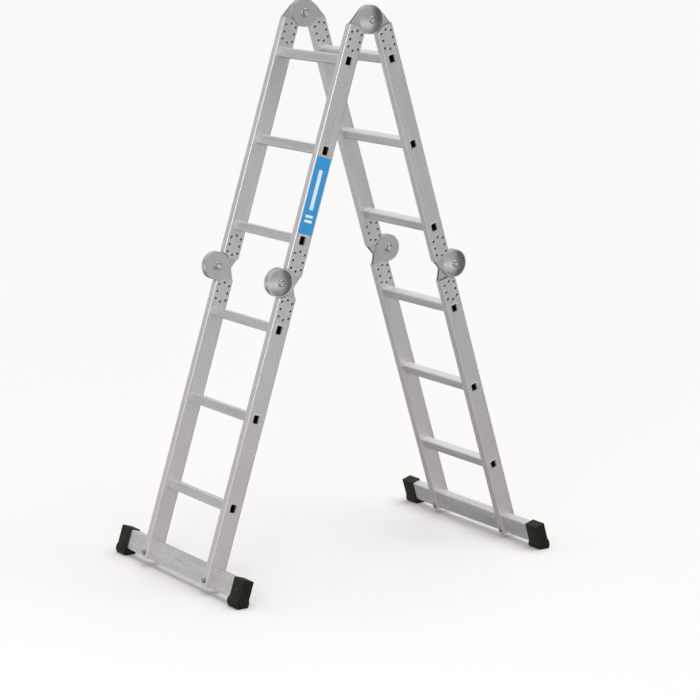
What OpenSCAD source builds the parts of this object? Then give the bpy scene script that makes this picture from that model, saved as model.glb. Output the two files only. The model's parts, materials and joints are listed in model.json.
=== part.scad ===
// Folding ladder with four sections, locking hinges and a wide foot bar on each leg.
// X runs along the rungs, Y from front to back, Z up. The feet stand on Z = 0.

/* [Ladder] */
// lean of each leg from upright, in degrees
lean = 17.4; // [12:0.1:22]
// width over the two stiles
width = 390; // [320:1:460]
// distance between rungs along the leg
rung_pitch = 280; // [240:1:300]
// top hinge axis to the first rung, and middle hinge axis to the rung on each side
rung_to_axis = 140; // [135:1:160]
// last rung to the foot of the stile
last_rung_to_foot = 249; // [180:1:300]

/* [Stiles] */
// depth of the box section, front to back
stile_depth = 60; // [50:1:75]
// thickness of the box section, side to side
stile_thick = 25; // [20:0.5:32]
// wall of the box section
stile_wall = 1.6; // [1.2:0.1:2]
// outer corner radius of the box section
stile_round = 3.2; // [2:0.1:5]
// hinge axis to the middle of the stile
axis_offset = 40; // [38:0.5:50]
// hinge axis to the cut end of the stile
stile_end = 33; // [30:0.5:44]

/* [Rungs] */
// depth of a rung, front to back
rung_depth = 28; // [22:0.5:34]
// height of a rung along the leg
rung_height = 30; // [24:0.5:36]
// wall of the rung tube
rung_wall = 1.5; // [1:0.1:2]
// corner radius of the rung tube
rung_round = 4; // [2:0.5:6]
// depth of the tread grooves
groove_depth = 0.6; // [0.3:0.1:0.8]
// width of a tread groove
groove_width = 2.2; // [1:0.1:3]
// flared rim around a rung end, past the tube
rim_width = 2; // [1:0.1:3]
// swaged collar against the inside of the stile, past the tube
collar_width = 2.6; // [1:0.1:4]

/* [Hinges] */
// radius of the hinge discs
disc_r = 44.5; // [40:0.5:46]
// room between a disc and the other section's stile
disc_room = 2.5; // [2:0.5:6]
// gap between neighbouring hinge plates
plate_gap = 0.4; // [0.3:0.05:0.6]
// height of the domed cover above its rim
dome_h = 5.6; // [4:0.1:9]
// height of the disc rims past the plates
rim_h = 1; // [0.8:0.1:2]
// radius of the rounded shoulder of a hinge plate
shoulder_r = 10; // [6:0.5:14]
// middle of that shoulder, out from the hinge axis
shoulder_out = 40; // [38:0.5:44]
// middle of that shoulder, past the hinge axis
shoulder_past = 4; // [2:0.5:8]
// radius of the round recess in the domed cover
recess_r = 12; // [10:0.5:14]
// hinge axis to the end of the strap inside the stile
strap_end = 118; // [112:1:130]
// radius of the spindle
spindle_r = 9; // [7:0.5:10]
// radial running clearance of the spindle in the plates
spindle_fit = 0.05; // [0.03:0.01:0.1]
// radius of the spindle's inner flange
flange_r = 14.5; // [14:0.5:18]
// thickness of that flange
flange_t = 6; // [4:0.5:8]
// wall around the cup in the flange that the knob sits in
flange_wall = 2.6; // [2:0.1:3]
// radius of the pull knob
knob_r = 10; // [8:0.1:10.5]
// length of the pull knob
knob_len = 9; // [8:0.5:16]
// radius of the knob's stem
stem_r = 4.2; // [3:0.1:5]
// radial running clearance of the stem in the spindle
stem_fit = 0.08; // [0.05:0.01:0.1]

/* [Rivets] */
// radius of a rivet's shank
rivet_r = 2.4; // [2:0.1:3]
// radius of a rivet's head
rivet_head_r = 5; // [4:0.1:6]
// height of a rivet's head
rivet_head_h = 1.7; // [1:0.1:2.5]
// hinge axis to the first row of rivets
rivet_first = 53; // [50:0.5:60]
// distance between rows of rivets
rivet_row = 23; // [18:0.5:26]
// distance between the two columns of rivets
rivet_cols = 37; // [30:0.5:40]
// how far the two middle rivets stand past the rows
rivet_past = 8; // [4:0.5:8]

/* [Foot bars] */
// length of a foot bar over its rubber caps
bar_overall = 740; // [640:1:860]
// depth of a foot bar, front to back
bar_depth = 28; // [22:0.5:32]
// height of a foot bar along the leg
bar_height = 63; // [50:0.5:75]
// wall of a foot bar
bar_wall = 2; // [1.5:0.1:3]
// corner radius of a foot bar
bar_round = 3.5; // [2:0.5:6]
// radius of the bolt that holds a foot bar in the stile
bolt_r = 4; // [3:0.5:5]
// foot of the stile to that bolt's axis
bolt_up = 17; // [12:0.5:25]

/* [Rubber caps] */
// wall of a cap
cap_wall = 3.4; // [2:0.1:5]
// length of a cap
cap_len = 56; // [45:1:80]
// thickness of a cap's outer end
cap_end = 6; // [4:0.5:10]
// how far the tread flares past the side walls
cap_flare = 5.6; // [3:0.1:8]
// foot of the stile to the floor at the middle of the cap
cap_sole = 20; // [15:0.5:28]

/* [Label] */
// gap between the label and the rim of the rung end above and below it
label_gap = 3; // [1:0.5:40]
// width of the label
label_w = 53; // [40:1:55]
// thickness of the label
label_t = 0.3; // [0.2:0.05:0.5]

/* [Hidden] */
$fn = 96;
// clearance where a tube passes through a punched hole
hole_fit = 0.1;
// clearance of a strap inside its stile
strap_fit = 0.3;
// hinge axis to hinge axis along a leg
mid_s = 2 * rung_to_axis + 2 * rung_pitch;
// top hinge axis to the foot of the stile
foot_s = mid_s + rung_to_axis + 2 * rung_pitch + last_rung_to_foot;
// height of the top hinge axis above the floor
axis_h = (foot_s + cap_sole) * cos(lean) - axis_offset * sin(lean);
// middle of a stile, side to side
stile_x = width / 2 - stile_thick / 2;
// thickness of one of the four plates that fill the hollow of a stile
plate_t = (stile_thick - 2 * stile_wall - 2 * strap_fit - 3 * plate_gap) / 4;
// outer face of the plate pack from its middle
pack_u = 2 * plate_t + 1.5 * plate_gap;
// outer face of the disc rims
rim_u = pack_u + rim_h;
// the strap's width inside the stile
strap_w = stile_depth - 2 * stile_wall - 2 * strap_fit;
// inner face of the spindle's flange
flange_in = rim_u + 0.3;
// floor of the cup in the flange
cup_floor = flange_in + 0.8;
// floor of the recess in the domed cover, under the spindle's head
head_u = rim_u + 1.2;
// thickness of the spindle's head
head_t = 6.2;
// underside of the knob
knob_u = cup_floor + 0.4;
// length of the label
label_len = rung_pitch - rung_height - 2 * (rim_width + label_gap);
// distances along the leg of the rungs
upper_rungs = [for (i = [0:2]) rung_to_axis + i * rung_pitch];
lower_rungs = [for (i = [0:2]) mid_s + rung_to_axis + i * rung_pitch];
// how far the fork in the foot of a stile runs past the bar
fork_open = 10;
// ends of the foot bar tube
bar_half = bar_overall / 2 - cap_end;
bar_s = foot_s - bar_height / 2;
// middle of a cap, where its pin sits
pin_x = bar_overall / 2 - cap_len / 2;
silver = [0.72, 0.72, 0.70];
steel = [0.60, 0.60, 0.58];
black = [0.10, 0.10, 0.09];
blue = [0.10, 0.50, 0.80];

// where a leg's own frame stands: axis of the top hinge at its origin, leg down its -Z
module front_leg() {
    translate([0, 0, axis_h])
        rotate([-lean, 0, 0])
            children();
}

module rear_leg() {
    mirror([0, 1, 0])
        front_leg()
            children();
}

// the right-hand side as drawn, or its mirror image for the left
module on_side(side) {
    mirror([side < 0 ? 1 : 0, 0, 0])
        children();
}

// a solid of a Y-Z outline between two X values
module across(x0, x1) {
    translate([x0, 0, 0])
        rotate([90, 0, 90])
            linear_extrude(x1 - x0)
                children();
}

module rounded(w, h, r) {
    square([w - 2 * r, h], center = true);
    square([w, h - 2 * r], center = true);
    for (i = [-1, 1], j = [-1, 1])
        translate([i * (w / 2 - r), j * (h / 2 - r)])
            circle(r = r);
}

// a middle-hinge frame: turned for the arm above it, mirrored for the arm below it
module mid_above() {
    translate([0, -2 * axis_offset, -mid_s])
        rotate([180, 0, 0])
            children();
}

module mid_below() {
    translate([0, -2 * axis_offset, -mid_s])
        mirror([0, 1, 0])
            children();
}

// the eight rivet places of one arm, for an arm that points down from its axis
module rivet_places() {
    for (row = [0:2], col = [-0.5, 0.5])
        translate([stile_x, -axis_offset + col * rivet_cols, -rivet_first - row * rivet_row])
            children();
    for (z = [rivet_first - rivet_past, rivet_first + 2 * rivet_row + rivet_past])
        translate([stile_x, -axis_offset, -z])
            children();
}

module rivet_holes() {
    rivet_places()
        across(-stile_thick, stile_thick)
            circle(r = rivet_r + 0.05);
}

// a round solid about X from X = 0, radius r at its base, domed to height h in flat steps
module dome(r, h, base, steps) {
    ball = (r * r + h * h) / (2 * h);
    half = asin(r / ball);
    rotate([0, 90, 0])
        rotate_extrude()
            polygon(concat(
                [[0, 0], [r, 0]],
                [for (k = [0:steps - 1]) [
                    ball * sin(half * (1 - k / steps)),
                    base + h - ball + ball * cos(half * (1 - k / steps))
                ]],
                [[0, base + h]]
            ));
}

module rivet_head() {
    dome(rivet_head_r, rivet_head_h - 0.3, 0.3, 3);
}

module rivet_row_of_arm() {
    rivet_places() {
        across(-stile_thick / 2 - 0.1, stile_thick / 2 + 0.1)
            circle(r = rivet_r);
        for (side = [0, 1])
            mirror([side, 0, 0])
                translate([stile_thick / 2, 0, 0])
                    rivet_head();
    }
}

module rivets(both_ends) {
    color(silver)
        for (side = [-1, 1])
            on_side(side) {
                if (both_ends)
                    rivet_row_of_arm();
                if (both_ends)
                    mid_above()
                        rivet_row_of_arm();
                if (!both_ends)
                    mid_below()
                        rivet_row_of_arm();
            }
}

// box section between two distances down the leg
module stile_tube(s0, s1) {
    translate([stile_x, -axis_offset, -s1])
        linear_extrude(s1 - s0)
            difference() {
                rounded(stile_thick, stile_depth, stile_round);
                rounded(stile_thick - 2 * stile_wall, stile_depth - 2 * stile_wall, stile_round - stile_wall);
            }
}

module disc_clearance() {
    across(stile_x - stile_thick, stile_x + stile_thick)
        circle(r = disc_r + disc_room);
}

// the section of a rung, grown or shrunk by a margin
module grown_rung(margin) {
    rounded(rung_depth + 2 * margin, rung_height + 2 * margin, rung_round + margin);
}

module rung_holes(list) {
    for (s = list)
        translate([0, -axis_offset, -s])
            across(stile_x - stile_thick, stile_x + stile_thick)
                grown_rung(hole_fit);
}

module upper_stile(side) {
    color(silver)
        on_side(side)
            difference() {
                stile_tube(stile_end, mid_s - stile_end);
                disc_clearance();
                translate([0, -2 * axis_offset, -mid_s])
                    disc_clearance();
                rung_holes(upper_rungs);
                rivet_holes();
                mid_above()
                    rivet_holes();
            }
}

module lower_stile(side) {
    color(silver)
        on_side(side)
            difference() {
                stile_tube(mid_s + stile_end, foot_s);
                translate([0, -2 * axis_offset, -mid_s])
                    disc_clearance();
                rung_holes(lower_rungs);
                mid_below()
                    rivet_holes();
                // the fork that the foot bar sits in
                translate([stile_x, -axis_offset, -bar_s - fork_open / 2])
                    cube(
                        [2 * stile_thick, bar_depth + 2 * hole_fit, bar_height + fork_open + 2 * hole_fit],
                        center = true
                    );
                bolt_place()
                    bolt_hole();
            }
}

module bolt_place() {
    translate([stile_x, -axis_offset, -foot_s + bolt_up])
        rotate([90, 0, 0])
            children();
}

module bolt_hole() {
    cylinder(r = bolt_r + 0.2, h = 2 * stile_depth, center = true);
}

module rung(s) {
    over = 0.9;
    color(silver)
        translate([0, -axis_offset, -s])
            difference() {
                union() {
                    across(-width / 2 - over, width / 2 + over)
                        difference() {
                            grown_rung(0);
                            for (side = [-1, 1], k = [-1.5:1:1.5])
                                translate([side * rung_depth / 2, k * 2.4 * groove_width])
                                    square([2 * groove_depth, groove_width], center = true);
                        }
                    for (side = [0, 1])
                        mirror([side, 0, 0]) {
                            across(width / 2, width / 2 + over)
                                grown_rung(rim_width);
                            across(width / 2 - stile_thick - 3, width / 2 - stile_thick)
                                grown_rung(collar_width);
                        }
                }
                across(-width, width)
                    grown_rung(-rung_wall);
            }
}

// outline of one hinge plate for an arm that points down: disc, rounded shoulder, neck and strap
module plate_outline() {
    near = -axis_offset + strap_w / 2;
    far = -axis_offset - strap_w / 2;
    shoulder = [-shoulder_out, shoulder_past];
    // direction of the line that touches both the disc and the shoulder
    over = atan2(shoulder.y, shoulder.x) - acos((disc_r - shoulder_r) / norm(shoulder));
    // direction of the line from the corner of the neck that touches the shoulder
    corner = [far, -stile_end] - shoulder;
    side = atan2(corner.y, corner.x) - acos(shoulder_r / norm(corner));
    circle(r = disc_r);
    translate(shoulder)
        circle(r = shoulder_r);
    polygon([
        [0, 0],
        disc_r * [cos(over), sin(over)],
        shoulder + shoulder_r * [cos(over), sin(over)],
        shoulder,
        shoulder + shoulder_r * [cos(side), sin(side)],
        [far, -stile_end],
        [far, -strap_end],
        [near, -strap_end],
        [near, -0.5 * disc_r]
    ]);
}

module strap_block(u0, u1) {
    translate([stile_x + u0, -axis_offset - strap_w / 2, -strap_end])
        cube([u1 - u0, strap_w, strap_end - disc_r - disc_room - 1]);
}

module arm_cuts() {
    across(0, stile_x + 2 * stile_thick)
        circle(r = spindle_r + spindle_fit);
    rivet_holes();
}

// the arm that carries the domed cover on the outside
module outer_arm(side) {
    color(steel)
        on_side(side)
            difference() {
                union() {
                    across(stile_x + pack_u - plate_t, stile_x + pack_u)
                        plate_outline();
                    across(stile_x - plate_t - plate_gap / 2, stile_x - plate_gap / 2)
                        plate_outline();
                    strap_block(-plate_t - plate_gap / 2, pack_u);
                    across(stile_x + pack_u, stile_x + rim_u)
                        circle(r = disc_r);
                    translate([stile_x + rim_u - 0.5, 0, 0])
                        dome(disc_r - 3, dome_h, 0.5, 7);
                }
                arm_cuts();
                across(stile_x + head_u - 0.2, stile_x + 2 * stile_thick)
                    circle(r = recess_r);
            }
}

// the arm that carries the flat disc on the inside
module inner_arm(side) {
    color(steel)
        on_side(side)
            difference() {
                union() {
                    across(stile_x + plate_gap / 2, stile_x + plate_t + plate_gap / 2)
                        plate_outline();
                    across(stile_x - pack_u, stile_x - pack_u + plate_t)
                        plate_outline();
                    strap_block(-pack_u, plate_t + plate_gap / 2);
                    across(stile_x - rim_u, stile_x - pack_u)
                        circle(r = disc_r);
                }
                arm_cuts();
            }
}

// the hollow spindle: a cupped flange inside, a round head in the recess outside
module spindle(side) {
    color(steel)
        on_side(side)
            difference() {
                union() {
                    across(stile_x - flange_in - flange_t, stile_x + head_u + head_t)
                        circle(r = spindle_r);
                    across(stile_x - flange_in - flange_t, stile_x - flange_in)
                        circle(r = flange_r);
                    translate([stile_x + head_u, 0, 0])
                        dome(recess_r - 1, 2.2, head_t - 2.2, 4);
                }
                across(stile_x - 2 * stile_thick, stile_x + pack_u)
                    circle(r = stem_r + stem_fit);
                across(stile_x - 2 * stile_thick, stile_x - cup_floor)
                    circle(r = flange_r - flange_wall);
                across(stile_x + head_u + head_t - 2.4, stile_x + 2 * stile_thick)
                    circle(r = 5);
            }
}

// the knob that frees the lock when it is pulled inward
module pull_knob(side) {
    neck_r = knob_r - 1.2;
    color(steel)
        on_side(side)
            translate([stile_x, 0, 0]) {
                across(-knob_u - 3, -knob_u)
                    circle(r = neck_r);
                across(-knob_u - knob_len + 1.5, -knob_u - 3)
                    circle(r = knob_r);
                across(-knob_u - knob_len, -knob_u - knob_len + 1.5)
                    circle(r = neck_r);
                across(-knob_u - 1, plate_t - 1)
                    circle(r = stem_r);
            }
}

module foot_bar() {
    color(silver)
        difference() {
            translate([0, -axis_offset, -bar_s])
                across(-bar_half, bar_half)
                    difference() {
                        rounded(bar_depth, bar_height, bar_round);
                        rounded(bar_depth - 2 * bar_wall, bar_height - 2 * bar_wall, bar_round - bar_wall);
                    }
            for (side = [-1, 1])
                on_side(side) {
                    bolt_place()
                        bolt_hole();
                    pin_place()
                        cylinder(r = 2.1, h = 2 * bar_depth, center = true);
                }
        }
}

module bolts() {
    reach = stile_depth / 2;
    color(steel)
        for (side = [-1, 1])
            on_side(side)
                bolt_place() {
                    cylinder(r = bolt_r, h = 2 * reach + 0.2, center = true);
                    translate([0, 0, reach + 0.05])
                        cylinder(r = 8, h = 1.6);
                    translate([0, 0, reach + 1.6])
                        cylinder(r = 7.5, h = 5.4, $fn = 6);
                    translate([0, 0, -reach - 1.65])
                        cylinder(r = 8, h = 1.6);
                    translate([0, 0, -reach - 5])
                        cylinder(r = 6, h = 3.5);
                }
}

module pin_place() {
    translate([pin_x, -axis_offset, -bar_s])
        rotate([90, 0, 0])
            children();
}

module pins() {
    reach = bar_depth / 2 + cap_wall;
    color(steel)
        for (side = [-1, 1])
            on_side(side)
                pin_place() {
                    cylinder(r = 2, h = 2 * reach + 0.4, center = true);
                    for (k = [0, 1])
                        mirror([0, 0, k])
                            translate([0, 0, reach + 0.1])
                                cylinder(r = 3.4, h = 0.9);
                }
}

// height of the floor in the leg's frame, at a distance out from the middle of the stile
function floor_at(t) = -foot_s - cap_sole - t * tan(lean);

module cap(side) {
    side_t = bar_depth / 2 + cap_wall;
    top = -foot_s + bar_height + cap_wall;
    tread = side_t + cap_flare;
    inner = bar_overall / 2;
    color(black)
        on_side(side)
            translate([0, -axis_offset, 0])
                difference() {
                    intersection() {
                        across(inner - cap_len, inner)
                            polygon([
                                [side_t, top],
                                [-side_t, top],
                                [-side_t, -foot_s + 8],
                                [-tread, -foot_s - 1],
                                [-tread, -foot_s - 11],
                                [-13, floor_at(13)],
                                [tread - 2, floor_at(2 - tread)],
                                [tread, -foot_s - 8],
                                [tread, -foot_s - 1],
                                [side_t, -foot_s + 8]
                            ]);
                        // rounded end corners, seen along the leg
                        translate([inner - cap_len, 0, -foot_s - 100])
                            linear_extrude(300)
                                rounded(2 * cap_len, 2 * tread + 4, 9);
                    }
                    translate([0, 0, -bar_s])
                        across(0, bar_half + 0.1)
                            square([bar_depth + 2 * hole_fit, bar_height + 2 * hole_fit], center = true);
                    translate([0, axis_offset, 0])
                        pin_place()
                            cylinder(r = 2.1, h = 4 * bar_depth, center = true);
                }
}

module label_sheet() {
    color(blue)
        translate([width / 2, -axis_offset - label_w / 2, -rung_to_axis - 1.5 * rung_pitch - label_len / 2])
            cube([label_t, label_w, label_len]);
}

module front_upper_stile_left() {
    front_leg()
        upper_stile(-1);
}

module front_upper_stile_right() {
    front_leg()
        upper_stile(1);
}

module front_lower_stile_left() {
    front_leg()
        lower_stile(-1);
}

module front_lower_stile_right() {
    front_leg()
        lower_stile(1);
}

module front_upper_rung_1() {
    front_leg()
        rung(upper_rungs[0]);
}

module front_upper_rung_2() {
    front_leg()
        rung(upper_rungs[1]);
}

module front_upper_rung_3() {
    front_leg()
        rung(upper_rungs[2]);
}

module front_lower_rung_1() {
    front_leg()
        rung(lower_rungs[0]);
}

module front_lower_rung_2() {
    front_leg()
        rung(lower_rungs[1]);
}

module front_lower_rung_3() {
    front_leg()
        rung(lower_rungs[2]);
}

module front_upper_rivets() {
    front_leg()
        rivets(true);
}

module front_lower_rivets() {
    front_leg()
        rivets(false);
}

module front_foot_bar() {
    front_leg()
        foot_bar();
}

module front_bar_bolts() {
    front_leg()
        bolts();
}

module front_cap_pins() {
    front_leg()
        pins();
}

module front_cap_left() {
    front_leg()
        cap(-1);
}

module front_cap_right() {
    front_leg()
        cap(1);
}

module rear_upper_stile_left() {
    rear_leg()
        upper_stile(-1);
}

module rear_upper_stile_right() {
    rear_leg()
        upper_stile(1);
}

module rear_lower_stile_left() {
    rear_leg()
        lower_stile(-1);
}

module rear_lower_stile_right() {
    rear_leg()
        lower_stile(1);
}

module rear_upper_rung_1() {
    rear_leg()
        rung(upper_rungs[0]);
}

module rear_upper_rung_2() {
    rear_leg()
        rung(upper_rungs[1]);
}

module rear_upper_rung_3() {
    rear_leg()
        rung(upper_rungs[2]);
}

module rear_lower_rung_1() {
    rear_leg()
        rung(lower_rungs[0]);
}

module rear_lower_rung_2() {
    rear_leg()
        rung(lower_rungs[1]);
}

module rear_lower_rung_3() {
    rear_leg()
        rung(lower_rungs[2]);
}

module rear_upper_rivets() {
    rear_leg()
        rivets(true);
}

module rear_lower_rivets() {
    rear_leg()
        rivets(false);
}

module rear_foot_bar() {
    rear_leg()
        foot_bar();
}

module rear_bar_bolts() {
    rear_leg()
        bolts();
}

module rear_cap_pins() {
    rear_leg()
        pins();
}

module rear_cap_left() {
    rear_leg()
        cap(-1);
}

module rear_cap_right() {
    rear_leg()
        cap(1);
}

module top_arm_front_left() {
    front_leg()
        outer_arm(-1);
}

module top_arm_rear_left() {
    rear_leg()
        inner_arm(-1);
}

module top_spindle_left() {
    front_leg()
        spindle(-1);
}

module top_knob_left() {
    front_leg()
        pull_knob(-1);
}

module top_arm_front_right() {
    front_leg()
        outer_arm(1);
}

module top_arm_rear_right() {
    rear_leg()
        inner_arm(1);
}

module top_spindle_right() {
    front_leg()
        spindle(1);
}

module top_knob_right() {
    front_leg()
        pull_knob(1);
}

module front_mid_arm_upper_left() {
    front_leg()
        mid_above()
            outer_arm(-1);
}

module front_mid_arm_lower_left() {
    front_leg()
        mid_below()
            inner_arm(-1);
}

module front_mid_spindle_left() {
    front_leg()
        mid_above()
            spindle(-1);
}

module front_mid_knob_left() {
    front_leg()
        mid_above()
            pull_knob(-1);
}

module front_mid_arm_upper_right() {
    front_leg()
        mid_above()
            outer_arm(1);
}

module front_mid_arm_lower_right() {
    front_leg()
        mid_below()
            inner_arm(1);
}

module front_mid_spindle_right() {
    front_leg()
        mid_above()
            spindle(1);
}

module front_mid_knob_right() {
    front_leg()
        mid_above()
            pull_knob(1);
}

module rear_mid_arm_upper_left() {
    rear_leg()
        mid_above()
            outer_arm(-1);
}

module rear_mid_arm_lower_left() {
    rear_leg()
        mid_below()
            inner_arm(-1);
}

module rear_mid_spindle_left() {
    rear_leg()
        mid_above()
            spindle(-1);
}

module rear_mid_knob_left() {
    rear_leg()
        mid_above()
            pull_knob(-1);
}

module rear_mid_arm_upper_right() {
    rear_leg()
        mid_above()
            outer_arm(1);
}

module rear_mid_arm_lower_right() {
    rear_leg()
        mid_below()
            inner_arm(1);
}

module rear_mid_spindle_right() {
    rear_leg()
        mid_above()
            spindle(1);
}

module rear_mid_knob_right() {
    rear_leg()
        mid_above()
            pull_knob(1);
}

module label() {
    front_leg()
        label_sheet();
}

front_upper_stile_left();
front_upper_stile_right();
front_lower_stile_left();
front_lower_stile_right();
front_upper_rung_1();
front_upper_rung_2();
front_upper_rung_3();
front_lower_rung_1();
front_lower_rung_2();
front_lower_rung_3();
front_upper_rivets();
front_lower_rivets();
front_foot_bar();
front_bar_bolts();
front_cap_pins();
front_cap_left();
front_cap_right();
rear_upper_stile_left();
rear_upper_stile_right();
rear_lower_stile_left();
rear_lower_stile_right();
rear_upper_rung_1();
rear_upper_rung_2();
rear_upper_rung_3();
rear_lower_rung_1();
rear_lower_rung_2();
rear_lower_rung_3();
rear_upper_rivets();
rear_lower_rivets();
rear_foot_bar();
rear_bar_bolts();
rear_cap_pins();
rear_cap_left();
rear_cap_right();
top_arm_front_left();
top_arm_rear_left();
top_spindle_left();
top_knob_left();
top_arm_front_right();
top_arm_rear_right();
top_spindle_right();
top_knob_right();
front_mid_arm_upper_left();
front_mid_arm_lower_left();
front_mid_spindle_left();
front_mid_knob_left();
front_mid_arm_upper_right();
front_mid_arm_lower_right();
front_mid_spindle_right();
front_mid_knob_right();
rear_mid_arm_upper_left();
rear_mid_arm_lower_left();
rear_mid_spindle_left();
rear_mid_knob_left();
rear_mid_arm_upper_right();
rear_mid_arm_lower_right();
rear_mid_spindle_right();
rear_mid_knob_right();
label();
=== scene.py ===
import json
import math

import bmesh
import bpy
from mathutils import Matrix, Vector


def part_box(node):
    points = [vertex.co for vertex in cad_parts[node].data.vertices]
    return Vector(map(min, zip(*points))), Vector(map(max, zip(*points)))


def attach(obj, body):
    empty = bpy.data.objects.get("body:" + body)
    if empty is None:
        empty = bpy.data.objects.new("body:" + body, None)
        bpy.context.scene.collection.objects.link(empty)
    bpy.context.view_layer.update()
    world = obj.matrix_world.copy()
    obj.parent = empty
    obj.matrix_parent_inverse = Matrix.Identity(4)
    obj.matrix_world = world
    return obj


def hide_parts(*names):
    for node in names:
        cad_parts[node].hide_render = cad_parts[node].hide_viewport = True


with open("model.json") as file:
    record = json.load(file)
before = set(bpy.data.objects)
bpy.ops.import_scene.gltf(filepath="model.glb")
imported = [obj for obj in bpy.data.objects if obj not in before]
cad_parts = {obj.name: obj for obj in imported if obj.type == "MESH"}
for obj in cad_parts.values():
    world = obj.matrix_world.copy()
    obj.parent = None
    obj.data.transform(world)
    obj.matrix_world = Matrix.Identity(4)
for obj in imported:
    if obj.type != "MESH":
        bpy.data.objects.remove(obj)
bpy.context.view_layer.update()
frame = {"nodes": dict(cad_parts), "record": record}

nodes = frame["nodes"]

# --- Stiles -----------------------------------------------------------------
# Eight lengths of 60 x 25 mm aluminium box section, two to a section of the ladder. Each is an
# extrusion with a satin mill finish: fine lines run its whole length, the corners carry a painted
# highlight, and lower down the faces turn a little pinker in patches.
LEAN = math.radians(17.4)
STILE_DEPTH = 0.060
STILE_THICK = 0.025
STILE_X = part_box("front_upper_stile_right")[1].x - STILE_THICK / 2
HINGE_TO_STILE = 0.040
RUNG_PITCH = 0.280
HIGHLIGHT_EDGE_WIDTH = 0.0025
PINK_FROM = 0.8
PINK_TO = 1.7
CORNER_HIGHLIGHT = (0.93, 0.93, 0.925, 1.0)
LOWER_PINK = (0.82, 0.75, 0.76, 1.0)


def middle(node):
    low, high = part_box(node)
    return (low + high) / 2


TOP_AXIS_Z = middle("top_spindle_right").z
SIDES = {"left": -1, "right": 1}
LEGS = {"front": -1, "rear": 1}


class Reading:
    """One output of a shader node. Arithmetic on it adds Math nodes."""

    def __init__(self, wiring, socket):
        self.wiring = wiring
        self.socket = socket

    def _math(self, operation, *values):
        sockets = dict(enumerate(values))
        return self.wiring.node("ShaderNodeMath", {"operation": operation}, sockets)

    def __add__(self, other):
        return self._math("ADD", self, other)

    def __sub__(self, other):
        return self._math("SUBTRACT", self, other)

    def __mul__(self, other):
        return self._math("MULTIPLY", self, other)

    def __mod__(self, other):
        return self._math("MODULO", self, other)

    def __rsub__(self, other):
        return self._math("SUBTRACT", other, self)

    def __abs__(self):
        return self._math("ABSOLUTE", self)

    def above(self, other):
        return self._math("GREATER_THAN", self, other)

    def below(self, other):
        return self._math("LESS_THAN", self, other)

    __radd__ = __add__
    __rmul__ = __mul__


class Wiring:
    """A node tree. node() adds any node: its settings are set first, then its sockets."""

    def __init__(self, tree):
        self.tree = tree

    def node(self, kind, settings=None, sockets=None, out=0):
        made = self.tree.nodes.new(kind)
        settings = dict(settings or {})
        stops = settings.pop("stops", None)
        for name, value in settings.items():
            setattr(made, name, value)
        if stops:
            elements = made.color_ramp.elements
            while len(elements) < len(stops):
                elements.new(0.5)
            for element, (where, shade) in zip(elements, stops):
                element.position = where
                element.color = (*shade, 1.0)
        for name, value in (sockets or {}).items():
            self.feed(made.inputs[name], value)
        return Reading(self, made.outputs[out])

    def feed(self, socket, value):
        if isinstance(value, Reading):
            self.tree.links.new(value.socket, socket)
        else:
            socket.default_value = value

    def apart(self, vector):
        split = self.node("ShaderNodeSeparateXYZ", None, {0: vector}).socket.node
        return [Reading(self, output) for output in split.outputs]

    def vector(self, x, y, z):
        return self.node("ShaderNodeCombineXYZ", None, {0: x, 1: y, 2: z})

    def noise(self, where, detail=3.0, rough=0.55):
        sockets = {"Vector": where, "Scale": 1.0, "Detail": detail, "Roughness": rough}
        return self.node("ShaderNodeTexNoise", None, sockets)

    def cloud(self, place, scales, detail=3.0, rough=0.55):
        """Noise at its own scale along each of three directions."""
        ways = [way * scale for way, scale in zip(place, scales)]
        return self.noise(self.vector(*ways), detail, rough)

    def ramp(self, value, *stops):
        return self.node("ShaderNodeValToRGB", {"stops": stops}, {0: value})

    def blend(self, amount, first, second):
        sockets = {0: amount, 6: first, 7: second}
        return self.node("ShaderNodeMix", {"data_type": "RGBA"}, sockets, out=2)


class Finish(Wiring):
    """A material of one Principled shader, with constants set on its own sockets."""

    def __init__(self, name, **constants):
        self.material = bpy.data.materials.new(name)
        self.material.use_nodes = True
        super().__init__(self.material.node_tree)
        self.shader = self.tree.nodes["Principled BSDF"]
        self.set(**constants)

    def set(self, **sockets):
        for name, value in sockets.items():
            self.feed(self.shader.inputs[name.replace("_", " ")], value)

    def place(self):
        """Where a point is in the ladder's own frame at rest."""
        return self.node("ShaderNodeTexCoord", out=3)

    def leg_place(self):
        """x, how far out from the middle of the stile, and how far down from the top hinge."""
        x, y, z = self.apart(self.place())
        aside = abs(y)
        drop = TOP_AXIS_Z - z
        out = aside * math.cos(LEAN) - drop * math.sin(LEAN) - HINGE_TO_STILE
        down = aside * math.sin(LEAN) + drop * math.cos(LEAN)
        return x, out, down

    def bump(self, height, distance, strength):
        sockets = {"Height": height, "Distance": distance, "Strength": strength}
        self.set(Normal=self.node("ShaderNodeBump", None, sockets))


def grey(value, warm=0.0):
    return (value * (1 + warm), value, value * (1 - warm))


def lined(finish, place, along, across=900.0):
    """Fine die lines that run one way: a noise drawn out along x or down the leg."""
    if along == "leg":
        fine = (across, across, 5.0)
        broad = (40.0, 40.0, 2.5)
    else:
        fine = (5.0, across, across)
        broad = (4.0, 60.0, 60.0)
    return finish.cloud(place, fine, 2.0), finish.cloud(place, broad, 4.0, 0.6)


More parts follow.
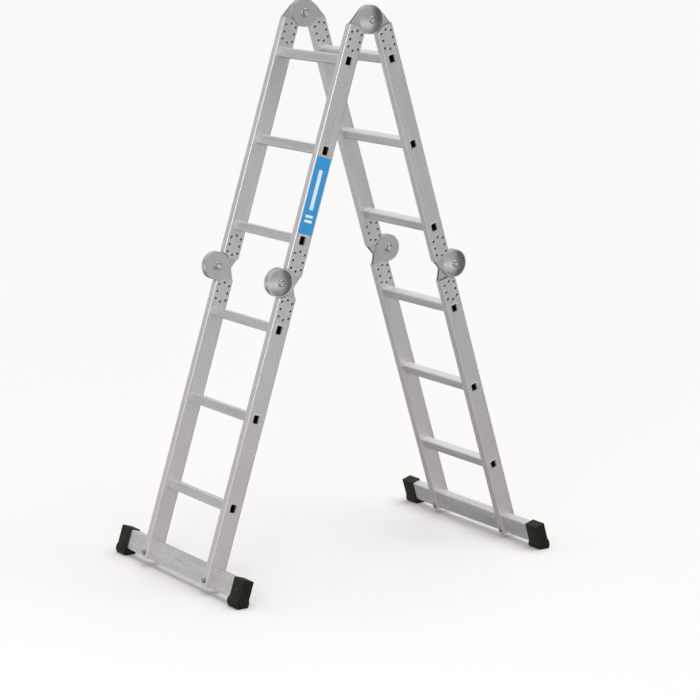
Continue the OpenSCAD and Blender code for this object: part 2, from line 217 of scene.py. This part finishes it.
def stile_metal():
    finish = Finish("stile_aluminium", Metallic=0.9)
    place = finish.leg_place()
    x, out, down = place
    die, haze = lined(finish, place, "leg")
    rubbed = finish.cloud(place, (9.0, 9.0, 5.0), 5.0, 0.65)
    mottle = finish.cloud(place, (130.0, 130.0, 110.0), 5.0, 0.7)
    shade = die * 0.15 + haze * 0.30 + rubbed * 0.20 + mottle * 0.35
    faces = finish.ramp(shade, (0.38, grey(0.70)), (0.50, grey(0.80, 0.004)), (0.62, grey(0.90)))
    # Lower down the leg, the faces blend in patches towards a pinker grey.
    low_down = finish.node("ShaderNodeMapRange", None, {0: down, 1: PINK_FROM, 2: PINK_TO})
    faces = finish.blend(low_down * haze, faces, LOWER_PINK)
    # Painted highlight: a band along each rounded corner is painted lighter, and made smoother.
    at_edge = abs(out).above(STILE_DEPTH / 2 - HIGHLIGHT_EDGE_WIDTH)
    corner = at_edge * abs(abs(x) - STILE_X).above(STILE_THICK / 2 - HIGHLIGHT_EDGE_WIDTH)
    finish.set(Base_Color=finish.blend(corner, faces, CORNER_HIGHLIGHT))
    finish.set(Roughness=(die * 0.12 + haze * 0.16 + 0.28) * (1.0 - corner * 0.35))
    finish.bump(die, 0.00004, 0.35)
    return finish.material


def smooth(thing, degrees=35):
    """Round faces shade as round, and edges sharper than this stay crisp."""
    mesh = thing.data
    mesh.polygons.foreach_set("use_smooth", [True] * len(mesh.polygons))
    mesh.set_sharp_from_angle(angle=math.radians(degrees))


def dress(node, material):
    """A CAD piece keeps its shape and takes this finish."""
    thing = nodes[node]
    smooth(thing)
    thing.data.materials.clear()
    thing.data.materials.append(material)


stile_finish = stile_metal()
for leg in LEGS:
    for part in ("upper", "lower"):
        for side in SIDES:
            dress(f"{leg}_{part}_stile_{side}", stile_finish)

# --- Rungs ------------------------------------------------------------------
# Twelve aluminium tubes, 28 x 30 mm with grooved treads front and back. Each passes through both
# stiles, is swaged against their inner faces and flared over the outer ones. The tops of the treads
# carry a painted highlight, and the open tubes are dull inside with painted shade deeper in.
RUNG_DEPTH = 0.028
RUNG_HEIGHT = 0.030
RUNG_WALL = 0.0015
TREAD_EDGE = 0.0035
INSIDE_BY = 0.0003
SHADE_FROM = 0.007
SHADE_TO = 0.014
TOP_HIGHLIGHT = (0.88, 0.875, 0.87, 1.0)
TUBE_DULL = (0.90, 0.895, 0.885, 1.0)
TUBE_SHADE = (0.010, 0.009, 0.008, 1.0)


def rung_metal():
    finish = Finish("rung_aluminium", Metallic=0.9)
    place = finish.leg_place()
    x, out, down = place
    die, haze = lined(finish, place, "rung")
    mottle = finish.cloud(place, (110.0, 130.0, 130.0), 5.0, 0.7)
    shade = die * 0.25 + haze * 0.40 + mottle * 0.35
    faces = finish.ramp(shade, (0.38, grey(0.63)), (0.62, grey(0.83, 0.004)))
    above_middle = down % RUNG_PITCH - RUNG_PITCH / 2
    # Painted highlight: a strip along the top of each rung is painted lighter.
    tread = (0.0 - above_middle).above(RUNG_HEIGHT / 2 - TREAD_EDGE)
    bright = finish.blend(tread, faces, TOP_HIGHLIGHT)
    in_tube = abs(out).below(RUNG_DEPTH / 2 - RUNG_WALL + INSIDE_BY)
    in_tube = in_tube * abs(above_middle).below(RUNG_HEIGHT / 2 - RUNG_WALL + INSIDE_BY)
    # Painted shade: inside the tube the colour darkens to near black with depth from the stile's
    # outer face.
    depth = STILE_X + STILE_THICK / 2 - abs(x)
    painted_shade = finish.node("ShaderNodeMapRange", None, {0: depth, 1: SHADE_FROM, 2: SHADE_TO})
    dulled = finish.blend(in_tube, bright, TUBE_DULL)
    finish.set(Base_Color=finish.blend(painted_shade * in_tube, dulled, TUBE_SHADE))
    finish.set(Metallic=0.9 - in_tube * 0.8)
    finish.set(Roughness=die * 0.12 + haze * 0.14 + 0.26)
    finish.bump(die, 0.00004, 0.3)
    return finish.material


rung_finish = rung_metal()
for leg in LEGS:
    for part in ("upper", "lower"):
        for number in (1, 2, 3):
            dress(f"{leg}_{part}_rung_{number}", rung_finish)

# --- Hinge arms -------------------------------------------------------------
# Two arms to a hinge, each a pair of plates on a block that fills the end of its stile. The plates
# interleave on the spindle. The outer arm carries a pressed cover with a dished middle. They are
# satin grey, with a finer, more even grain than the stiles.
COVER_HEIGHT = 0.0056
COVER_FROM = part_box("top_arm_front_right")[1].x - COVER_HEIGHT
TOP_PIECES = ("arm_front", "arm_rear", "spindle", "knob")
MID_PIECES = ("arm_upper", "arm_lower", "spindle", "knob")


def hinge_metal():
    finish = Finish("hinge_metal", Metallic=0.9)
    place = finish.leg_place()
    die, haze = lined(finish, place, "leg", 500.0)
    spots = finish.cloud(place, (160.0, 160.0, 160.0), 4.0, 0.6)
    shade = die * 0.2 + haze * 0.4 + spots * 0.4
    finish.set(Base_Color=finish.ramp(shade, (0.33, grey(0.55)), (0.68, grey(0.72))))
    cover = abs(place[0]).above(COVER_FROM)
    unevenness = (haze * 0.12 + spots * 0.16) * (1.0 - cover * 0.6)
    finish.set(Roughness=unevenness + (0.22 - cover * 0.05))
    finish.bump(spots * (1.0 - cover * 0.8), 0.00008, 0.3)
    return finish.material


hinge_finish = hinge_metal()
HINGES = []
for side in SIDES:
    HINGES.append([f"top_{piece}_{side}" for piece in TOP_PIECES])
    for leg in LEGS:
        HINGES.append([f"{leg}_mid_{piece}_{side}" for piece in MID_PIECES])
for outer, inner, spindle, knob in HINGES:
    dress(outer, hinge_finish)
    dress(inner, hinge_finish)

# --- Spindles and pull knobs ------------------------------------------------
# A hollow zinc-plated steel spindle carries each hinge. Outside, its end is rolled over into a ring
# in the dish of the cover. Inside, its deep flange is a cup for a turned knob with a fluted grip,
# on a stem that slides in the spindle.
SPINDLE_RADIUS = 0.009
BORE_RADIUS = 0.0045
BORE_END = 0.0084
RING_BACK = 0.0062
DIMPLE_FLOOR = 0.0050
RING_RADIUS = 0.011
RING_HOLLOW = 0.005
RING_HEIGHT = 0.0022
RING_MIDDLE = (RING_RADIUS + RING_HOLLOW) / 2
RING_HALF = (RING_RADIUS - RING_HOLLOW) / 2
RING_STEPS = 8
FLANGE_RADIUS = 0.0145
FLANGE_HEIGHT = 0.006
FLANGE_ROUND = 0.0008
CUP_RADIUS = 0.0119
CUP_DEPTH = 0.0052
CUP_ROUND = 0.0006
STEM_RADIUS = 0.0042
KNOB_GRIP = [
    (0.0010, 0),
    (0.0009, 0.0066),
    (0.0003, 0.0074),
    (0.0, 0.0082),
    (0.0003, 0.0092),
    (0.0012, 0.0100),
    (0.0060, 0.0100),
    (0.0066, 0.0088),
    (0.0090, 0.0086),
    (0.0090, STEM_RADIUS),
]
FLUTED_STEPS = (5, 6)
FLUTES = 24
FLUTE_REACH = 0.955


def plated_steel(name, dark, light, roughness):
    finish = Finish(name, Metallic=0.95)
    place = finish.apart(finish.place())
    bloom = finish.cloud(place, (220.0, 220.0, 220.0), 4.0, 0.6)
    grain = finish.cloud(place, (1500.0, 500.0, 500.0), 2.0)
    finish.set(Base_Color=finish.ramp(bloom * 0.6 + grain * 0.4, (0.35, dark), (0.68, light)))
    finish.set(Roughness=bloom * 0.14 + grain * 0.12 + (roughness - 0.13))
    finish.bump(grain, 0.00003, 0.3)
    return finish.material


def turned(shape, profile, place, segments=24, fluted=(), slots=()):
    """Add a closed solid, turned about place's x axis from (distance along, radius) pairs."""
    rings = []
    for step, (along, radius) in enumerate(profile):
        if radius == 0:
            rings.append([shape.verts.new(place @ Vector((along, 0, 0)))] * segments)
            continue
        ring = []
        for turn in range(segments):
            angle = 2 * math.pi * turn / segments
            reach = radius * (FLUTE_REACH if step in fluted and turn % 2 else 1.0)
            point = Vector((along, reach * math.cos(angle), reach * math.sin(angle)))
            ring.append(shape.verts.new(place @ point))
        rings.append(ring)
    for step, (here, there) in enumerate(zip(rings, rings[1:])):
        for turn in range(segments):
            after = (turn + 1) % segments
            corners = dict.fromkeys((here[turn], here[after], there[after], there[turn]))
            face = shape.faces.new(list(corners))
            face.material_index = slots[step] if slots else 0


def made(name, shape, materials, like, slot, degrees=35):
    """Finish a mesh as a piece that stands for a CAD node: same body, with the given materials. The
    slot argument is not used.
    """
    bmesh.ops.recalc_face_normals(shape, faces=shape.faces)
    mesh = bpy.data.meshes.new(name)
    shape.to_mesh(mesh)
    shape.free()
    for material in materials:
        mesh.materials.append(material)
    thing = bpy.data.objects.new(name, mesh)
    bpy.context.scene.collection.objects.link(thing)
    smooth(thing, degrees)
    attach(thing, BODY_OF[like])
    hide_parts(like)
    return thing


def outward(node):
    """Puts x = 0 at a piece's inner end, on the middle of the hinge, with x running outward."""
    low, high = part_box(node)
    centre = (low + high) / 2
    start, way = (low.x, 1) if centre.x > 0 else (high.x, -1)
    mirrored = Matrix.Scale(way, 4, (1, 0, 0))
    return Matrix.Translation((start, centre.y, centre.z)) @ mirrored, high.x - low.x


bodies = frame["record"]["behaviour"]["bodies"]
BODY_OF = {node: body for body, held in bodies.items() for node in held}
spindle_finish = plated_steel("spindle_steel", grey(0.56), grey(0.78), 0.24)
knob_finish = plated_steel("knob", grey(0.60), grey(0.82), 0.28)
for outer, inner, spindle, knob in HINGES:
    place, length = outward(spindle)
    rolled = []
    for step in range(RING_STEPS + 1):
        turn = math.pi * step / RING_STEPS
        along = length - RING_HEIGHT + RING_HEIGHT * math.sin(turn)
        rolled.append((along, RING_MIDDLE + RING_HALF * math.cos(turn)))
    profile = [
        (length - BORE_END, 0),
        (length - BORE_END, BORE_RADIUS),
        (CUP_DEPTH, BORE_RADIUS),
        (CUP_DEPTH, CUP_RADIUS),
        (CUP_ROUND, CUP_RADIUS),
        (0, CUP_RADIUS + CUP_ROUND),
        (0, FLANGE_RADIUS - FLANGE_ROUND),
        (FLANGE_ROUND, FLANGE_RADIUS),
        (FLANGE_HEIGHT, FLANGE_RADIUS),
        (FLANGE_HEIGHT, SPINDLE_RADIUS),
        (length - RING_BACK, SPINDLE_RADIUS),
        (length - RING_BACK, RING_RADIUS),
        *rolled,
        (length - DIMPLE_FLOOR, RING_HOLLOW),
        (length - DIMPLE_FLOOR, 0),
    ]
    shape = bmesh.new()
    turned(shape, profile, place, 48)
    made(f"{spindle}_turned", shape, [spindle_finish], spindle, "fastener_steel")

    place, length = outward(knob)
    profile = [*KNOB_GRIP, (length, STEM_RADIUS), (length, 0)]
    shape = bmesh.new()
    turned(shape, profile, place, 2 * FLUTES, fluted=FLUTED_STEPS)
    made(f"{knob}_turned", shape, [knob_finish], knob, "knob")

# --- Rivets -----------------------------------------------------------------
# Ninety-six aluminium rivets hold the hinge arms, eight to an arm. Each is tubular: its ends are
# rolled over into a bright ring round a hollow on both faces of the stile, and the hollow is
# painted near black as painted shade.
RIVET_RADIUS = 0.0024
RIVET_FROM = 0.053
RIVET_STEP = 0.023
RIVET_COLUMN = 0.037 / 2
RIVET_BEYOND = 0.008
RIVET_ROWS = [RIVET_FROM + RIVET_STEP * row for row in range(3)]
RIVET_MIDDLES = (RIVET_ROWS[0] - RIVET_BEYOND, RIVET_ROWS[2] + RIVET_BEYOND)
ROLLED_END = [
    (-0.0012, 0),
    (-0.0012, 0.0022),
    (0.0002, 0.0027),
    (0.0010, 0.0033),
    (0.0016, 0.0038),
    (0.0017, 0.0041),
    (0.0015, 0.0045),
    (0.0009, 0.0048),
    (0.0, 0.0050),
    (0.0, RIVET_RADIUS),
]
HOLLOW_STEPS = 4
METAL, SHADE_SLOT = 0, 1


def leg_frame(leg):
    """Turns (x, out from the middle of the stile, down the leg) into the ladder's frame."""
    side = LEGS[leg]
    out = Vector((0, side * math.cos(LEAN), math.sin(LEAN)))
    down = Vector((0, side * math.sin(LEAN), -math.cos(LEAN)))
    turn = Matrix(((1, 0, 0), out, down)).transposed().to_4x4()
    return Matrix.Translation(Vector((0, 0, TOP_AXIS_Z)) + out * HINGE_TO_STILE) @ turn


def down_the_leg(node):
    """How far down its leg the middle of a node lies."""
    centre = middle(node)
    return abs(centre.y) * math.sin(LEAN) + (TOP_AXIS_Z - centre.z) * math.cos(LEAN)


def arm_rivets(axis_down, heading):
    """Where an arm's eight rivets lie, out and down, on one side of its hinge axis."""
    places = [(out, row) for row in RIVET_ROWS for out in (-RIVET_COLUMN, RIVET_COLUMN)]
    places += [(0, reach) for reach in RIVET_MIDDLES]
    return [(out, axis_down + heading * reach) for out, reach in places]


rivet_finish = plated_steel("rivet_metal", grey(0.70), grey(0.88), 0.26)
# Painted shade: the hollows take a near-black finish.
hollow_shade = Finish("rivet_hollow_shade", Metallic=0.2)
specks = hollow_shade.cloud(hollow_shade.apart(hollow_shade.place()), (900.0, 900.0, 900.0))
hollow_shade.set(Base_Color=hollow_shade.ramp(specks, (0.3, grey(0.012)), (0.7, grey(0.05))))
hollow_shade.set(Roughness=specks * 0.3 + 0.5)
MID_AXIS_DOWN = down_the_leg("front_mid_spindle_right")
for leg in LEGS:
    arms = {
        "upper": arm_rivets(0.0, 1) + arm_rivets(MID_AXIS_DOWN, -1),
        "lower": arm_rivets(MID_AXIS_DOWN, 1),
    }
    for part, places in arms.items():
        node = f"{leg}_{part}_rivets"
        shape = bmesh.new()
        rim = [(STILE_THICK / 2 + along, radius) for along, radius in ROLLED_END]
        profile = rim + [(-along, radius) for along, radius in reversed(rim)]
        ends = [SHADE_SLOT] * HOLLOW_STEPS
        slots = ends + [METAL] * (len(profile) - 1 - 2 * HOLLOW_STEPS) + ends
        for x in (-STILE_X, STILE_X):
            for out, down in places:
                place = leg_frame(leg) @ Matrix.Translation((x, out, down))
                turned(shape, profile, place, 16, slots=slots)
        finishes = [rivet_finish, hollow_shade.material]
        made(f"{node}_rolled", shape, finishes, node, "rivet_metal", 50)

# --- Foot bars --------------------------------------------------------------
# A box-section bar, 63 x 28 mm, lies in the forked foot of both stiles of a leg. A steel bolt
# through each stile holds it, with a pan head inside and a hexagon nut outside, both on washers.
BAR_HEIGHT = 0.063
BOLT_UP = 0.017
BOLT_RADIUS = 0.004
WASHER_RADIUS, WASHER_THICK = 0.008, 0.0016
NUT_HEIGHT = 0.0054
NUT_PROFILE = [
    (0.0, 0),
    (0.0, 0.0067),
    (0.0005, 0.0075),
    (0.0048, 0.0075),
    (NUT_HEIGHT, 0.0065),
    (NUT_HEIGHT, 0),
]
PAN_RADIUS, PAN_HEIGHT = 0.0062, 0.0036
PAN_TOP = 0.55
PAN_STEPS = 5
DRIVE_MOUTH, DRIVE_FLOOR = 0.45, 0.40
DRIVE_DEPTH = 0.0012
SHANK_LAP = 0.001
THREAD_TURNS = 2
THREAD_PITCH = 0.00125
THREAD_DEPTH = 0.0006
THREAD_RUNOUT = 0.0003


def bar_metal():
    finish = Finish("bar_aluminium", Metallic=0.9)
    place = finish.leg_place()
    die, haze = lined(finish, place, "rung", 700.0)
    mottle = finish.cloud(place, (90.0, 120.0, 120.0), 5.0, 0.7)
    shade = die * 0.25 + haze * 0.35 + mottle * 0.40
    finish.set(Base_Color=finish.ramp(shade, (0.38, grey(0.63)), (0.62, grey(0.87, 0.004))))
    finish.set(Roughness=die * 0.12 + haze * 0.16 + 0.26)
    finish.bump(die, 0.00005, 0.35)
    return finish.material


bar_finish = bar_metal()
bolt_finish = plated_steel("bolt_steel", grey(0.26), grey(0.52), 0.26)
FOOT_DOWN = down_the_leg("front_foot_bar") + BAR_HEIGHT / 2
FACE = STILE_DEPTH / 2

thread_from = FACE + WASHER_THICK + NUT_HEIGHT - SHANK_LAP
thread = []
for turn in range(THREAD_TURNS):
    crest = thread_from + turn * THREAD_PITCH
    thread += [(crest, BOLT_RADIUS), (crest + THREAD_PITCH / 2, BOLT_RADIUS - THREAD_DEPTH)]
start, end = -FACE - SHANK_LAP, thread[-1][0] + THREAD_RUNOUT
shank = [(start, 0), (start, BOLT_RADIUS), *thread, (end, 0)]
nut = [(FACE + WASHER_THICK + along, radius) for along, radius in NUT_PROFILE]

start, end = -FACE - WASHER_THICK, -FACE - WASHER_THICK - PAN_HEIGHT
pan = [(start, 0), (start, PAN_RADIUS)]
for step in range(1, PAN_STEPS):
    turn = math.pi / 2 * step / PAN_STEPS
    reach = PAN_RADIUS * (PAN_TOP + (1 - PAN_TOP) * math.cos(turn))
    pan.append((start - PAN_HEIGHT * math.sin(turn), reach))
pan += [
    (end, PAN_RADIUS * DRIVE_MOUTH),
    (end + DRIVE_DEPTH, PAN_RADIUS * DRIVE_FLOOR),
    (end + DRIVE_DEPTH, 0),
]

across_leg = Matrix.Rotation(math.pi / 2, 4, "Z")
for leg in LEGS:
    dress(f"{leg}_foot_bar", bar_finish)
    shape = bmesh.new()
    for x in (-STILE_X, STILE_X):
        bolt_place = Matrix.Translation((x, 0, FOOT_DOWN - BOLT_UP))
        at_bolt = leg_frame(leg) @ bolt_place @ across_leg
        turned(shape, shank, at_bolt, 24)
        for start in (FACE, -FACE - WASHER_THICK):
            end = start + WASHER_THICK
            washer = [(start, 0), (start, WASHER_RADIUS), (end, WASHER_RADIUS), (end, 0)]
            turned(shape, washer, at_bolt, 32)
        turned(shape, nut, at_bolt, 6)
        turned(shape, pan, at_bolt, 24)
    bolts = f"{leg}_bar_bolts"
    made(f"{leg}_bolts_and_nuts", shape, [bolt_finish], bolts, "fastener_steel")

# --- Rubber caps ------------------------------------------------------------
# A moulded black rubber cap closes each end of a foot bar. Its walls are a slip fit on the bar, it
# flares to a thick tread that lies flat on the floor, and a steel pin holds it. The moulded edges
# are rounded, the sides carry faint upright ribs, and dust has greyed them in patches.
CAP_ROUND = 0.0012
RIB_PITCH = 0.008
RIB_HALF = 0.0012
SAME_POINT = 0.00001
FLAT = math.radians(2)


def rubber():
    finish = Finish("foot_rubber", Specular_IOR_Level=0.22)
    place = finish.leg_place()
    fine = finish.cloud(place, (700.0, 700.0, 700.0), 3.0, 0.6)
    dust = finish.cloud(place, (60.0, 60.0, 60.0), 5.0, 0.65)
    rib = abs(abs(place[0]) % RIB_PITCH - RIB_PITCH / 2).below(RIB_HALF)
    greyed = finish.ramp(
        fine * 0.3 + dust * 0.6 + rib * 0.08,
        (0.30, (0.009, 0.009, 0.004)),
        (0.55, (0.015, 0.016, 0.007)),
        (0.80, (0.034, 0.036, 0.020)),
    )
    finish.set(Base_Color=greyed)
    finish.set(Roughness=dust * 0.25 + fine * 0.1 + 0.38)
    finish.bump(fine * 0.5 + rib * 0.5, 0.0003, 0.4)
    return finish.material


rubber_finish = rubber()
pin_finish = plated_steel("blackened_steel", grey(0.07), grey(0.20), 0.40)
for leg in LEGS:
    dress(f"{leg}_cap_pins", pin_finish)
    for side in SIDES:
        node = f"{leg}_cap_{side}"
        shape = bmesh.new()
        shape.from_mesh(nodes[node].data)
        bmesh.ops.remove_doubles(shape, verts=shape.verts, dist=SAME_POINT)
        bmesh.ops.dissolve_limit(shape, angle_limit=FLAT, verts=shape.verts, edges=shape.edges)
        cap = made(f"{node}_moulded", shape, [rubber_finish], node, "foot_rubber", 40)
        rounding = cap.modifiers.new("rounding", "BEVEL")
        rounding.width = CAP_ROUND
        rounding.segments = 3
        rounding.limit_method = "ANGLE"
        rounding.angle_limit = math.radians(30)
        rounding.harden_normals = False

# --- Label ------------------------------------------------------------------
# A printed film on the outer face of the front right stile, between two rungs: satin blue with one
# plain white stripe and two short bars, and no lettering. Its edges carry a painted highlight,
# lighter blue in patches.
LABEL_WIDTH = 0.053
LABEL_HIGHLIGHT_EDGE = 0.0012
STRIPE_MIDDLE, STRIPE_HALF_LENGTH, STRIPE_HALF_WIDTH = -0.018, 0.062, 0.0065
BARS_MIDDLE, BARS_HALF_GAP = 0.072, 0.0075
BAR_HALF_LENGTH, BAR_HALF_WIDTH = 0.0135, 0.0042
PRINTED_WHITE = (0.78, 0.88, 0.94, 1.0)
HIGHLIGHT_BLUE = (0.45, 0.60, 0.72, 1.0)


def printed_film():
    finish = Finish("label", Specular_IOR_Level=0.35)
    place = finish.leg_place()
    x, out, down = place
    along = down - 2 * RUNG_PITCH
    stripe = abs(out).below(STRIPE_HALF_WIDTH)
    stripe = stripe * abs(along - STRIPE_MIDDLE).below(STRIPE_HALF_LENGTH)
    from_bar = abs(abs(along - BARS_MIDDLE) - BARS_HALF_GAP)
    bars = abs(out).below(BAR_HALF_LENGTH) * from_bar.below(BAR_HALF_WIDTH)
    scuff_and_highlight = finish.cloud(place, (300.0, 300.0, 120.0), 5.0, 0.7)
    ink = finish.ramp(scuff_and_highlight, (0.30, (0.024, 0.280, 0.640)), (0.75, (0.040, 0.350, 0.740)))
    # Painted highlight: both edges of the film are painted a lighter blue in patches.
    edge_highlight = abs(out).above(LABEL_WIDTH / 2 - LABEL_HIGHLIGHT_EDGE)
    marks = finish.blend(stripe + bars, ink, PRINTED_WHITE)
    finish.set(Base_Color=finish.blend(edge_highlight * scuff_and_highlight, marks, HIGHLIGHT_BLUE))
    finish.set(Roughness=scuff_and_highlight * 0.2 + 0.28)
    finish.bump(scuff_and_highlight, 0.00003, 0.3)
    return finish.material


dress("label", printed_film())

# --- Floor, light and camera ------------------------------------------------
# A plain pale floor in a bright soft room. The room is darker below the horizon and towards the
# back, which gives the metal its shading, and two broad lamps give soft shadows.
FLOOR_HALF = 60.0
FLOOR_BELOW = 0.0002
FLOOR_COLOUR = (0.930, 0.925, 0.915, 1.0)
BACKDROP = (0.982, 0.974, 0.956, 1.0)
LOOK_AT = Vector((0, 0, 0.850))
CAMERA_RIGHT = 0.04925
CAMERA_DOWN = 0.18637
CAMERA_BACK = 7.71393
LENS = 125.44
floor_mesh = bpy.data.meshes.new("floor")
shape = bmesh.new()
bmesh.ops.create_grid(shape, x_segments=1, y_segments=1, size=FLOOR_HALF)
shape.to_mesh(floor_mesh)
shape.free()
floor = bpy.data.objects.new("floor", floor_mesh)
floor.location.z = -FLOOR_BELOW
bpy.context.scene.collection.objects.link(floor)
paint = Finish("floor_paint", Base_Color=FLOOR_COLOUR, Roughness=0.9, Specular_IOR_Level=0.0)
floor.data.materials.append(paint.material)
floor.visible_glossy = False

world = bpy.data.worlds.new("room")
bpy.context.scene.world = world
world.use_nodes = True
room = Wiring(world.node_tree)
for old in list(room.tree.nodes):
    room.tree.nodes.remove(old)
across, upward = room.apart(room.node("ShaderNodeTexCoord"))[1:]
by_height = room.ramp(
    upward * 0.5 + 0.5,
    (0.0, (0.12, 0.115, 0.115)),
    (0.21, (0.24, 0.235, 0.235)),
    (0.27, (0.34, 0.335, 0.335)),
    (0.32, (0.62, 0.61, 0.61)),
    (0.40, (1.08, 1.075, 1.075)),
    (0.50, (0.48, 0.475, 0.475)),
    (0.61, (0.45, 0.445, 0.445)),
    (0.72, (0.77, 0.745, 0.75)),
    (1.0, (0.60, 0.56, 0.57)),
)
by_side = room.ramp(
    across * 0.5 + 0.5,
    (0.0, grey(1.0)),
    (0.778, grey(1.0)),
    (0.815, grey(0.50)),
    (0.86, grey(0.12)),
)
multiplied = {"data_type": "RGBA", "blend_type": "MULTIPLY"}
shade = room.node("ShaderNodeMix", multiplied, {0: 1.0, 6: by_height, 7: by_side}, out=2)
glow = room.node("ShaderNodeBackground", None, {"Color": shade, "Strength": 1.0})
plain = room.node("ShaderNodeBackground", None, {"Color": BACKDROP, "Strength": 1.0})
seen_directly = room.node("ShaderNodeLightPath")
seen = room.node("ShaderNodeMixShader", None, {0: seen_directly, 1: glow, 2: plain})
result = room.tree.nodes.new("ShaderNodeOutputWorld")
room.feed(result.inputs["Surface"], seen)


def lamp(kind, name, place, aim, energy, **settings):
    """A lamp at one point, turned to face another."""
    data = bpy.data.lights.new(name, kind)
    data.energy = energy
    for setting, value in settings.items():
        setattr(data, setting, value)
    thing = bpy.data.objects.new(name, data)
    thing.location = place
    thing.rotation_euler = (Vector(aim) - Vector(place)).to_track_quat("-Z", "Y").to_euler()
    bpy.context.scene.collection.objects.link(thing)


spread = math.radians(70)
lamp("SUN", "overhead", (0.3, 2.2, 5.0), (0, 0, 0), 1.62, angle=spread, color=(0.96, 1.0, 0.985))
lamp("AREA", "front", (3.6, -4.2, 2.6), (0, 0, 0.9), 34, size=1.6)

AZIMUTH, ELEVATION, ROLL = map(math.radians, (55.55, 11.638, 0.249))
level_back = Vector((math.sin(AZIMUTH), -math.cos(AZIMUTH), 0.0))
back = level_back * math.cos(ELEVATION) + Vector((0, 0, math.sin(ELEVATION)))
level = Vector((math.cos(AZIMUTH), math.sin(AZIMUTH), 0.0))
upright = back.cross(level)
right = level * math.cos(ROLL) + upright * math.sin(ROLL)
up = upright * math.cos(ROLL) - level * math.sin(ROLL)
lens = bpy.data.cameras.new("camera")
lens.sensor_width = 36.0
lens.lens = LENS
lens.clip_start, lens.clip_end = 0.1, 300.0
camera = bpy.data.objects.new("camera", lens)
turned_to = Matrix((right, up, back)).transposed().to_4x4()
stand = LOOK_AT + right * CAMERA_RIGHT - up * CAMERA_DOWN + back * CAMERA_BACK
camera.matrix_world = Matrix.Translation(stand) @ turned_to
bpy.context.scene.collection.objects.link(camera)
bpy.context.scene.camera = camera
bpy.context.scene.view_settings.view_transform = "Standard"
